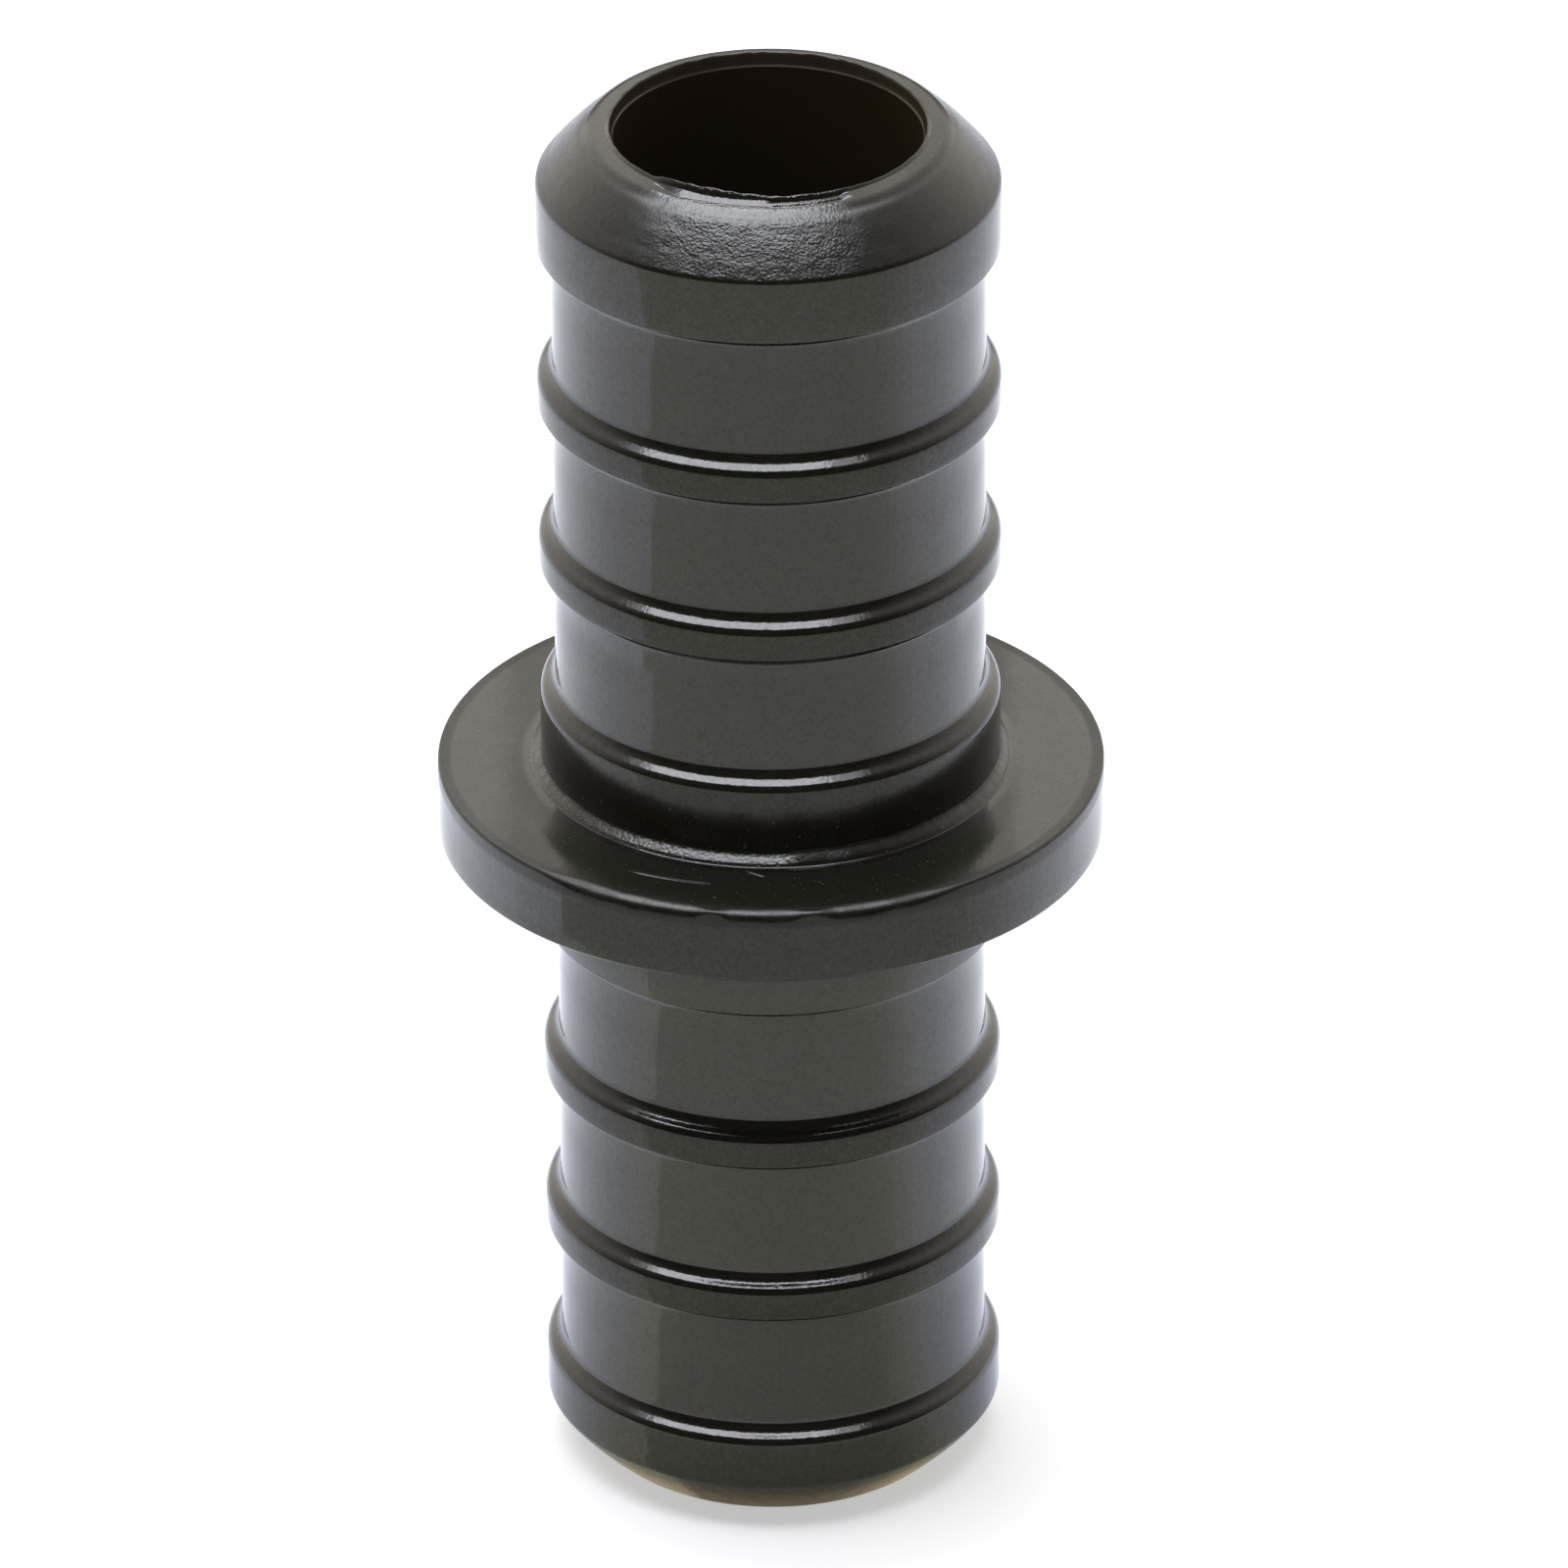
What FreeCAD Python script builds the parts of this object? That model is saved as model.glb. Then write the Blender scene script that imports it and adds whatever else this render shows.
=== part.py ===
import FreeCAD, Part
import math
import os
import Sketcher

# Pipe coupling, moulded in one piece: two ribbed spigots, back to back on a round stop flange.
# Lengths are millimetres. The origin is the centre of the flange, and +Z runs along the bore.
# From the flange outwards each spigot carries a collar, evenly spaced ribs, an end band and a
# domed nose. A pipe slides over them until its end meets the flange.
# The upper spigot and the upper half of the flange are built first, and mirrored last.

NODE = "coupling_body"

SIZES = {
    "bore_diameter": 8.1,        # waterway
    "wall_thickness": 1.65,      # from the waterway to the plain wall between the ribs
    "rib_height": 0.4,           # how far collar, ribs and band stand out of the plain wall
    "rib_crest": 0.87,           # flat top of a rib, along the axis
    "rib_flank": 0.2,            # run of each sloping side, along the axis
    "rib_pitch": 4.66,           # from one rib to the next
    "rib_count": 2,              # free ribs on each spigot
    "collar_length": 2.375,      # from the flange face to the end of the collar's crest
    "band_length": 1.585,        # crest of the end band, up to the foot of the nose
    "nose_length": 1.45,         # from the end band to the lip
    "nose_radius": 9.5,          # the nose is a little domed, not a straight cone
    "lip_width": 0.56,           # ring between the mouth and the nose
    "lip_round": 0.2,            # outer edge of the lip
    "mouth_flare": 0.1,          # how much the mouth widens, all round
    "mouth_depth": 0.55,         # where the widening starts, below the lip
    "flange_reach": 2.75,        # how far the flange stands out of the collar
    "flange_thickness": 2.05,
    "rim_bevel": 0.15,           # both rims of the flange
    "foot_round": 0.35,          # between the flange and the collar
}

# Radii and heights that follow from the sizes
AXIS = "0"
MIDDLE = "0"
BORE_RADIUS = "Sizes.bore_diameter / 2"
MOUTH_RADIUS = f"({BORE_RADIUS} + Sizes.mouth_flare)"
LIP_RADIUS = f"({MOUTH_RADIUS} + Sizes.lip_width)"
BARREL_RADIUS = f"({BORE_RADIUS} + Sizes.wall_thickness)"
SEAT_RADIUS = f"({BARREL_RADIUS} - Sizes.rib_height)"
CREST_RADIUS = f"({BARREL_RADIUS} + Sizes.rib_height)"
FLANGE_RADIUS = f"({CREST_RADIUS} + Sizes.flange_reach)"
FLANGE_FACE = "Sizes.flange_thickness / 2"
COLLAR_TOP = f"({FLANGE_FACE} + Sizes.collar_length)"
BAND_FOOT = f"({COLLAR_TOP} + (Sizes.rib_count + 1) * Sizes.rib_pitch - Sizes.rib_crest)"
BAND_TOP = f"({BAND_FOOT} + Sizes.band_length)"
LIP_FACE = f"({BAND_TOP} + Sizes.nose_length)"

# How a sketch counts the points of a curve, and its own axes
START_POINT, END_POINT, CENTRE_POINT = range(1, 4)
HORIZONTAL_AXIS, VERTICAL_AXIS = range(-1, -3, -1)
SKETCH_ORIGIN = (HORIZONTAL_AXIS, START_POINT)

FULL_TURN = 360
TOLERANCE = 1e-4


def rib_top(number):
    """Height of the outer edge of a rib's crest, counted from the flange, which starts at 1."""
    return f"({COLLAR_TOP} + {number} * Sizes.rib_pitch)"


def rib_foot(number):
    """Height of the inner edge of the same crest."""
    return f"({rib_top(number)} - Sizes.rib_crest)"


def make_sheet():
    """Write each driving dimension into a cell with its own alias."""
    cells = doc.addObject("Spreadsheet::Sheet", "Sizes")
    for row, (name, number) in enumerate(SIZES.items(), start=1):
        cells.set(f"A{row}", name)
        cells.set(f"B{row}", str(number))
        cells.setAlias(f"B{row}", name)
    doc.recompute()
    return cells


def value_of(expression):
    """Present value of an expression in the sheet's cells."""
    return float(sheet.evalExpression(expression))


def origin_part(role):
    """One of the body's own origin planes or axes."""
    return next(item for item in body.Origin.OriginFeatures if item.Role == role)


def new_sketch(name, plane):
    """Empty sketch that lies on one of the body's origin planes."""
    sketch = body.newObject("Sketcher::SketchObject", name)
    sketch.AttachmentSupport = [(origin_part(plane), "")]
    sketch.MapMode = "FlatFace"
    return sketch


def drive(sketch, name, constraint, expression):
    """Add a named constraint to a sketch and let the sheet set its value."""
    index = sketch.addConstraint(constraint)
    sketch.renameConstraint(index, name)
    sketch.setExpression(f"Constraints.{name}", expression)


def domed_edge(start, end, radius):
    """Shallow arc of the given radius from start to end, bulging away from the axis."""
    chord = end - start
    rise = radius - math.sqrt(radius**2 - (chord.Length / 2) ** 2)
    outward = FreeCAD.Vector(chord.y, -chord.x, 0).normalize()
    crown = (start + end) * 0.5 + outward * rise
    return Part.Arc(start, crown, end)


def place_corner(sketch, index, radius, height):
    """Hold the first point of an edge at its radius and height."""
    if radius == AXIS:
        sketch.addConstraint(Sketcher.Constraint("PointOnObject", index, START_POINT, VERTICAL_AXIS))
    else:
        across = Sketcher.Constraint("DistanceX", *SKETCH_ORIGIN, index, START_POINT, value_of(radius))
        drive(sketch, f"radius_{index}", across, radius)
    if height == MIDDLE:
        sketch.addConstraint(Sketcher.Constraint("PointOnObject", index, START_POINT, HORIZONTAL_AXIS))
    else:
        along = Sketcher.Constraint("DistanceY", *SKETCH_ORIGIN, index, START_POINT, value_of(height))
        drive(sketch, f"height_{index}", along, height)


def draw_section(name, corners, domed=None):
    """Half section in the XZ plane: a closed outline through (radius, height) corners.

    domed holds the number of an edge and the expression of its radius, where one edge is an arc.
    """
    sketch = new_sketch(name, "XZ_Plane")
    points = [FreeCAD.Vector(value_of(radius), value_of(height), 0) for radius, height in corners]
    for index, start in enumerate(points):
        end = points[(index + 1) % len(points)]
        if domed and index == domed[0]:
            sketch.addGeometry(domed_edge(start, end, value_of(domed[1])))
        else:
            sketch.addGeometry(Part.LineSegment(start, end))
    for index, (radius, height) in enumerate(corners):
        following = (index + 1) % len(corners)
        sketch.addConstraint(
            Sketcher.Constraint("Coincident", index, END_POINT, following, START_POINT)
        )
        place_corner(sketch, index, radius, height)
    if domed:
        bend = Sketcher.Constraint("Radius", domed[0], value_of(domed[1]))
        drive(sketch, "dome", bend, domed[1])
    return sketch


def turn(kind, name, corners, domed=None):
    """Turn a half section once round the Z axis, as a Revolution or a Groove."""
    section = draw_section(f"{name}_section", corners, domed)
    feature = body.newObject(f"PartDesign::{kind}", name)
    feature.Profile = section
    feature.ReferenceAxis = (section, ["V_Axis"])
    feature.Angle = FULL_TURN
    doc.recompute()
    return feature


def make_spigot():
    """Solid barrel with its end band and domed nose."""
    corners = [
        (AXIS, MIDDLE),
        (BARREL_RADIUS, MIDDLE),
        (BARREL_RADIUS, f"{BAND_FOOT} - Sizes.rib_flank"),
        (CREST_RADIUS, BAND_FOOT),
        (CREST_RADIUS, BAND_TOP),
        (LIP_RADIUS, LIP_FACE),
        (AXIS, LIP_FACE),
    ]
    nose_edge = corners.index((CREST_RADIUS, BAND_TOP))
    return turn("Revolution", "spigot", corners, (nose_edge, "Sizes.nose_radius"))


def make_collar():
    """Collar between the flange and the first groove, with one sloping flank."""
    collar_end = f"{COLLAR_TOP} + Sizes.rib_flank"
    corners = [
        (SEAT_RADIUS, MIDDLE),
        (CREST_RADIUS, MIDDLE),
        (CREST_RADIUS, COLLAR_TOP),
        (BARREL_RADIUS, collar_end),
        (SEAT_RADIUS, collar_end),
    ]
    return turn("Revolution", "collar", corners)


def make_ribs():
    """First rib, with both flanks, repeated outwards along the spigot."""
    lower_end = f"{rib_foot(1)} - Sizes.rib_flank"
    upper_end = f"{rib_top(1)} + Sizes.rib_flank"
    corners = [
        (SEAT_RADIUS, lower_end),
        (BARREL_RADIUS, lower_end),
        (CREST_RADIUS, rib_foot(1)),
        (CREST_RADIUS, rib_top(1)),
        (BARREL_RADIUS, upper_end),
        (SEAT_RADIUS, upper_end),
    ]
    rib = turn("Revolution", "rib", corners)
    ribs = body.newObject("PartDesign::LinearPattern", "ribs")
    ribs.Originals = [rib]
    ribs.Direction = (origin_part("Z_Axis"), [""])
    ribs.Mode = "Spacing"
    ribs.setExpression("Offset", "Sizes.rib_pitch")
    ribs.setExpression("Occurrences", "Sizes.rib_count")
    body.Tip = ribs
    doc.recompute()
    return ribs


def make_flange():
    """Upper half of the round stop flange, up from the middle plane."""
    sketch = new_sketch("flange_outline", "XY_Plane")
    centre = FreeCAD.Vector(0, 0, 0)
    up = FreeCAD.Vector(0, 0, 1)
    rim = sketch.addGeometry(Part.Circle(centre, up, value_of(FLANGE_RADIUS)))
    sketch.addConstraint(Sketcher.Constraint("Coincident", rim, CENTRE_POINT, *SKETCH_ORIGIN))
    across = Sketcher.Constraint("Radius", rim, value_of(FLANGE_RADIUS))
    drive(sketch, "rim_radius", across, FLANGE_RADIUS)
    flange = body.newObject("PartDesign::Pad", "flange")
    flange.Profile = sketch
    flange.setExpression("Length", FLANGE_FACE)
    doc.recompute()
    return flange


def cut_waterway():
    """Open the bore, and widen it a little at the mouth."""
    solid_volume = body.Shape.Volume
    corners = [
        (AXIS, MIDDLE),
        (BORE_RADIUS, MIDDLE),
        (BORE_RADIUS, f"{LIP_FACE} - Sizes.mouth_depth"),
        (MOUTH_RADIUS, LIP_FACE),
        (AXIS, LIP_FACE),
    ]
    waterway = turn("Groove", "waterway", corners)
    if waterway.Shape.Volume >= solid_volume:
        raise RuntimeError("the waterway cut nothing")
    return waterway


def circle_name(solid, radius, height):
    """Name of a solid's circular edge at a radius and a height."""
    for number, edge in enumerate(solid.Edges, start=1):
        if not isinstance(edge.Curve, Part.Circle):
            continue
        radius_error = abs(edge.Curve.Radius - value_of(radius))
        height_error = abs(edge.Curve.Center.z - value_of(height))
        if max(radius_error, height_error) < TOLERANCE:
            return f"Edge{number}"
    raise RuntimeError(f"no edge at radius {radius} and height {height}")


def dress_edge(kind, name, radius, height):
    """Start a Fillet or a Chamfer on the circular edge at a radius and a height."""
    before = body.Tip
    edge = circle_name(before.Shape, radius, height)
    feature = body.newObject(f"PartDesign::{kind}", name)
    feature.Base = (before, [edge])
    return feature


def dress_edges():
    """Soften the edges that the mould leaves soft. The foot of the nose stays sharp."""
    foot = dress_edge("Fillet", "foot_fillet", CREST_RADIUS, FLANGE_FACE)
    foot.setExpression("Radius", "Sizes.foot_round")
    doc.recompute()
    lip = dress_edge("Fillet", "lip_fillet", LIP_RADIUS, LIP_FACE)
    lip.setExpression("Radius", "Sizes.lip_round")
    doc.recompute()
    rim = dress_edge("Chamfer", "rim_chamfer", FLANGE_RADIUS, FLANGE_FACE)
    rim.setExpression("Size", "Sizes.rim_bevel")
    doc.recompute()


def mirror_half():
    """Repeat the whole upper half below the middle plane of the flange."""
    both = body.newObject("PartDesign::Mirrored", "both_halves")
    both.TransformMode = "Whole shape"
    both.MirrorPlane = (origin_part("XY_Plane"), [""])
    body.Tip = both
    doc.recompute()
    return both


def check_document():
    """Stop if any object failed, or if the body isn't one valid solid."""
    for item in doc.Objects:
        if "Invalid" in item.State or "Error" in item.State:
            raise RuntimeError(f"{item.Name} failed: {item.State}")
    if body.Shape.isNull() or not body.Shape.isValid():
        raise RuntimeError(f"{body.Label} has no valid shape")
    if len(body.Shape.Solids) != 1:
        raise RuntimeError(f"{body.Label} is {len(body.Shape.Solids)} solids")


doc = FreeCAD.newDocument("Coupling")
sheet = make_sheet()
body = doc.addObject("PartDesign::Body", "Coupling_Body")
body.Label = NODE

make_spigot()
make_collar()
make_ribs()
make_flange()
cut_waterway()
dress_edges()
mirror_half()
check_document()

os.makedirs("parts", exist_ok=True)
body.Shape.exportStep(f"parts/{body.Label}.step")
box = body.Shape.optimalBoundingBox()
print(f"{body.Label}: {box.XLength:.2f} x {box.YLength:.2f} x {box.ZLength:.2f} mm")
print(f"volume {body.Shape.Volume:.1f} mm3, faces {len(body.Shape.Faces)}")
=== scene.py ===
# %% [markdown]
# # A plastic pipe coupling, dressed for its photograph
#
# The real object is a small moulded fitting: two ribbed spigots back to back on a round stop
# flange, with a bore right through. It is black plastic, satin on the walls, rough on the blunt
# noses, with a torn film of plastic left at the mouth by the mould. The packed part already has
# the true sizes, so it is loaded first as a fixed frame, and everything here is fitted to it.

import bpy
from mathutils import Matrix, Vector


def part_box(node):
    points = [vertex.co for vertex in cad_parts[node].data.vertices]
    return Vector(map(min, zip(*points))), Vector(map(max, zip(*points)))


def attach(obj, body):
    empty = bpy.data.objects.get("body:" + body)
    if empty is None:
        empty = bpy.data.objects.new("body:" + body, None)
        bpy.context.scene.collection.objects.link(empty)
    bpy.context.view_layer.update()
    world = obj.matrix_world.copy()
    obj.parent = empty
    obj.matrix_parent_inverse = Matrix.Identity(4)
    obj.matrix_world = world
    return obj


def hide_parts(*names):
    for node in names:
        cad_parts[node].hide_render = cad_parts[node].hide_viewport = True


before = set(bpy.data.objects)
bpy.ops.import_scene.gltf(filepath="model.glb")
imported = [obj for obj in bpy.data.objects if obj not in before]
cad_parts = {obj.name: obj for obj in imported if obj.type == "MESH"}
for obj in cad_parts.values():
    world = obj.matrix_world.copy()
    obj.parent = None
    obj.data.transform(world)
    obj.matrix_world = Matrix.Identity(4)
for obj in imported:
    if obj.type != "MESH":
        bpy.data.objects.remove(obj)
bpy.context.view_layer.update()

# %% The libraries and the unit
import math

import bpy
import numpy as np
from mathutils import Matrix, Vector

MM = 0.001
scene = bpy.context.scene
scene.view_settings.view_transform = "Standard"
print("one millimetre is", MM, "metres")

# %% [markdown]
# ## The sizes
#
# The packed part gives its own half length and the flange's radius. Its other sizes are written
# here again in millimetres, because the scene reads nothing but the frame. They could be
# measured from the mesh, but names are easier to read and to change. In the photograph all the
# ribs sit a little lower than a mirrored mould would put them, and the scene follows it.

# %% Sizes of the moulding, in millimetres
lowest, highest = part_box("coupling_body")
HALF_LENGTH = highest.z / MM
FLANGE_RADIUS = highest.x / MM
BORE_RADIUS = 4.05
MOUTH_RADIUS = 4.15
MOUTH_DEPTH = 0.24
MOUTH_STEP = 0.04
LIP_RADIUS = 4.71
BARREL_RADIUS = 5.7
CREST_RADIUS = 6.1
NOSE_LENGTH = 1.45
BAND_LENGTH = 1.585
RIB_CREST = 0.87
RIB_PITCH = 4.66
RIB_SAG = 0.16
COLLAR_LENGTH = 2.375
FLANGE_FACE = 1.025
BAND_TOP = HALF_LENGTH - NOSE_LENGTH
BAND_FOOT = BAND_TOP - BAND_LENGTH
COLLAR_TOP = FLANGE_FACE + COLLAR_LENGTH
FIRST_RIB = COLLAR_TOP + RIB_PITCH - RIB_CREST
print("half length", round(HALF_LENGTH, 3), "flange radius", round(FLANGE_RADIUS, 3))

# %% [markdown]
# ## The profile
#
# On the real part no edge is sharp: plastic can't fill a sharp corner, so each one has a small
# radius, and that radius is what catches the light as a thin bright line. A Bevel modifier could
# round the edges, but it gives every edge the same width. Here the half section is a list of
# corners, and each corner has its own radius, as on a mould maker's drawing.

# %% A row of corners becomes a smooth profile
def unit(vector):
    """The vector divided by its own length."""
    return vector / np.linalg.norm(vector)


def fillet(before, corner, after, radius, count):
    """Points of the arc that replaces one corner.

    The arc touches both runs. Its centre is on the line that halves the corner, at the radius
    divided by the sine of half the angle, and its points turn evenly from one touching point
    to the other.
    """
    back, on = unit(before - corner), unit(after - corner)
    half = math.acos(np.clip(back @ on, -1, 1)) / 2
    centre = corner + unit(back + on) * radius / math.sin(half)
    reach = radius / math.tan(half)
    first, last = corner + back * reach - centre, corner + on * reach - centre
    turn = math.pi - 2 * half
    share = np.linspace(0, 1, count)[:, None]
    return centre + (np.sin((1 - share) * turn) * first + np.sin(share * turn) * last) / math.sin(turn)


def profile(corners, radii, arc_points, run_points):
    """The whole profile: an arc at each corner, and evenly spaced points on the run after it.

    The first and the last corner are the section's ends and stay as they are.
    """
    arcs = [corners[:1]]
    for i in range(1, len(corners) - 1):
        arcs.append(fillet(corners[i - 1], corners[i], corners[i + 1], radii[i], arc_points[i]))
    arcs.append(corners[-1:])
    rows = []
    for arc, after, between in zip(arcs, arcs[1:] + arcs[-1:], run_points):
        share = np.arange(1, between + 1)[:, None] / (between + 1)
        rows += [arc, arc[-1] + share * (after[0] - arc[-1])]
    return np.concatenate(rows)


east, north = np.eye(2)
print("a square corner rounded:", fillet(east, np.zeros(2), north, 0.5, 3).round(2).tolist())

# %% [markdown]
# ## Two sections of one mould
#
# The photograph shows that the light line on the flange's edge is whole in some places and broken
# in others. The edge is well rounded where the line is wide, and nearly sharp where it breaks. So
# the section is worked out twice, once with the wide radius and once with the tight one, and the
# two are mixed round the ring. The ribs differ too: their sides that look up are gentle slopes,
# which carry one broad bright line, and the sides that look down are nearly sharp.

# %% How many points each stretch of the section has
SHARP = 0, 1
NO_RUN, SHORT_RUN, FLAT_RUN = 0, 1, 2
SMALL_ARC, NOSE_FOOT_ARC, RIM_ARC = 3, 5, 7
print("a flat after an arc has", FLAT_RUN, "points of its own, so that it shades flat")

# %% The two kinds of rib side: arc points, radii, run, and how far the slope eats into the crest
LOOKS_UP = {"points": 7, "shoulder": 0.32, "root": 0.45, "run": 0.26, "shift": 0.035}
LOOKS_DOWN = {"points": 4, "shoulder": 0.045, "root": 0.31, "run": 0.19, "shift": 0.0}


def rib_side(height, way, kind):
    """Two corners, the crest's edge and the barrel's root, in the order of the section.

    height is where the crest ends, and way is 1 where the slope falls towards the part's end and
    -1 where it falls towards the flange. The flat after the side gets points of its own.
    """
    crest = CREST_RADIUS, height - way * kind["shift"], kind["shoulder"], kind["points"]
    root = BARREL_RADIUS, crest[1] + way * kind["run"], kind["root"], kind["points"]
    first, second = (root, crest) if way > 0 else (crest, root)
    return [(*first, NO_RUN), (*second, FLAT_RUN)]


print("a side that looks up:", rib_side(0, 1, LOOKS_UP))

# %% The corners of one half, from the middle of the bore to the middle of the rim
STEP_ROUND = 0.03
MOUTH_ROUND = 0.04
LIP_ROUND = 0.32
NOSE_FOOT_ROUND = 0.2
FOOT_RISE, FOOT_DROP = 0.26, 0.17
FOOT_RUN, FOOT_REACH = 0.21, 0.27
FOOT_ROUND = 0.04
INNER_START, RIM_END = HALF_LENGTH / 5, FLANGE_FACE / 5


def half_section(rim_round, sag, end_side, flange_side, nose_rows, lip_rows):
    """Section of one half. Each corner: radius, height, rounding, arc points and run points.

    sag moves the collar's top, the ribs and the band's foot towards the flange. end_side and
    flange_side are the kinds of the rib sides that face the end of the part, and the flange.
    """
    step_height = HALF_LENGTH - MOUTH_DEPTH
    rows = [
        (BORE_RADIUS, INNER_START, *SHARP, FLAT_RUN),
        (BORE_RADIUS, step_height, STEP_ROUND, SMALL_ARC, NO_RUN),
        (BORE_RADIUS + MOUTH_STEP, step_height + MOUTH_STEP, STEP_ROUND, SMALL_ARC, FLAT_RUN),
        (MOUTH_RADIUS, HALF_LENGTH, MOUTH_ROUND, SMALL_ARC, lip_rows),
        (LIP_RADIUS, HALF_LENGTH, LIP_ROUND, end_side["points"], nose_rows),
        (CREST_RADIUS, BAND_TOP, NOSE_FOOT_ROUND, NOSE_FOOT_ARC, FLAT_RUN),
    ]
    rows += rib_side(BAND_FOOT - sag, -1, flange_side)
    for foot in (FIRST_RIB + RIB_PITCH - sag, FIRST_RIB - sag):
        rows += rib_side(foot + RIB_CREST, 1, end_side)
        rows += rib_side(foot, -1, flange_side)
    rows += rib_side(COLLAR_TOP - sag, 1, end_side)
    ledge_height = FLANGE_FACE + FOOT_RISE
    rows += [
        (CREST_RADIUS, ledge_height, FOOT_ROUND, SMALL_ARC, FLAT_RUN),
        (CREST_RADIUS + FOOT_RUN, ledge_height - FOOT_DROP, FOOT_ROUND, SMALL_ARC, NO_RUN),
        (CREST_RADIUS + FOOT_REACH, FLANGE_FACE, FOOT_ROUND, SMALL_ARC, SHORT_RUN),
        (FLANGE_RADIUS, FLANGE_FACE, rim_round, RIM_ARC, SHORT_RUN),
        (FLANGE_RADIUS, RIM_END, *SHARP, NO_RUN),
    ]
    radius, height, rounding, arc_points, run_points = zip(*rows)
    return profile(np.stack([radius, height], axis=1), rounding, arc_points, run_points)


print("a half starts at", round(INNER_START, 2), "and ends at", round(RIM_END, 3), "mm above the middle")

# %% Both halves in one loop, with the wide rim and with the tight one
WIDE_RIM, TIGHT_RIM = 0.38, 0.1
UPPER = {"sag": RIB_SAG, "end_side": LOOKS_UP, "flange_side": LOOKS_DOWN, "nose_rows": 24, "lip_rows": 16}
LOWER = {"sag": -RIB_SAG, "end_side": LOOKS_DOWN, "flange_side": LOOKS_UP, "nose_rows": 9, "lip_rows": 2}


def closed_section(rim_round):
    """The upper half, and then the lower one turned over, in reverse order."""
    upper = half_section(rim_round, **UPPER)
    lower = half_section(rim_round, **LOWER)[::-1] * (1, -1)
    return np.concatenate([upper, lower])


wide_section = closed_section(WIDE_RIM)
tight_section = closed_section(TIGHT_RIM)
print("rows in the section:", len(wide_section))

# %% [markdown]
# ## What the mould left
#
# A turned profile alone looks like a drawing. The real part has a torn film of plastic standing
# at the front of the mouth, with a falling slope before it on the left and two fine grooves on
# the right, a ragged ledge at the collar's foot, and a nose as rough as cast iron. Each of these
# is a small displacement of the ring surface: a shape across the profile, times a ragged strength
# that runs round the ring. They could be painted as bump only, but then the outline and the
# mesh would not have them.

# %% Places round the ring, and ragged values along them
AROUND = 324
turn_angles = np.arange(AROUND) * math.tau / AROUND
degrees = np.degrees(np.mod(turn_angles + math.pi, math.tau) - math.pi)
seeds = np.random.default_rng(20)


def ragged(knots, low, high):
    """Uneven values round the ring: drawn at evenly spaced knots and joined by straight lines."""
    values = seeds.uniform(low, high, knots)
    places = np.arange(knots + 1) * math.tau / knots
    return np.interp(turn_angles, places, np.append(values, values[0]))


def ease(value, start, end):
    """0 before start, 1 after end, and a smooth S between them.

    The S is the square of the share of the way, times three less twice that share.
    """
    share = np.clip((value - start) / (end - start), 0, 1)
    return share * share * (3 - 2 * share)


def sector(start, end, soft):
    """1 between two angles in degrees from the front, and 0 outside: a rise times a fall."""
    return ease(degrees, start - soft, start + soft) * (1 - ease(degrees, end - soft, end + soft))


def hump(place, centre, width):
    """A bell across the profile: e to minus twice the square of the distance over the width."""
    return np.exp(-(((place - centre) / width) ** 2) * 2)


print("points round the ring:", AROUND, "from", round(degrees.min(), 1), "to", round(degrees.max(), 1))

# %% [markdown]
# ## The ring surface
#
# The surface is a function of two parameters: the place along the section and the angle round
# the axis. The wide section shows where the light line on the flange's upper edge is whole, and
# the tight one where it is broken, and all along the lower edge. The Screw modifier could turn a
# profile, but it has one section only, and nothing could vary round the ring.

# %% Mix the two sections round the ring
RIM_BLEND = 7.4, 7.8
RIM_WIDE = -39, 30, 6
RIM_BREAKS = ((-12.5, -8.5), (4.5, 9.5))
BREAK_SOFT, BREAK_STRENGTH = 1.6, 0.8
RIM_KNOTS, RIM_WAVER = 120, 0.35

section_radius, section_height = wide_section[:, :1], wide_section[:, 1:]
on_rim = ease(section_radius, *RIM_BLEND)
breaks = np.max([sector(start, end, BREAK_SOFT) for start, end in RIM_BREAKS], axis=0)
broken = np.clip(BREAK_STRENGTH * breaks + ragged(RIM_KNOTS, 0, RIM_WAVER), 0, 1)
wide_share = (1 - broken) * sector(*RIM_WIDE)
tight_share = on_rim * np.where(section_height > 0, 1 - wide_share, 1)
ring_radius = section_radius + tight_share * (tight_section[:, :1] - section_radius)
ring_height = section_height + tight_share * (tight_section[:, 1:] - section_height)
print("grid of", ring_radius.shape, "points")

# %% The lip falls off outwards in front, and less towards the back
LIP_DEPTH = 0.3
LIP_INSIDE, LIP_OUTSIDE = (-0.03, 0), (5.0, 4.75)
CROWN_START = 0.1
CROWN_TURNS = 0, 35, 48, 90, 130
CROWN_SLOPES = 0.20, 0.20, 0.12, 0.08, 0.0

lip_place = section_radius - MOUTH_RADIUS
on_top_lip = (section_height > HALF_LENGTH - LIP_DEPTH) * ease(lip_place, *LIP_INSIDE)
on_top_lip = on_top_lip * ease(section_radius, *LIP_OUTSIDE)
crown_slope = np.interp(abs(degrees), CROWN_TURNS, CROWN_SLOPES)
crown = crown_slope * np.clip(lip_place - CROWN_START, 0, None)
print("lip falls by", round(float((on_top_lip * crown).max()), 3), "mm at most")

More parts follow.
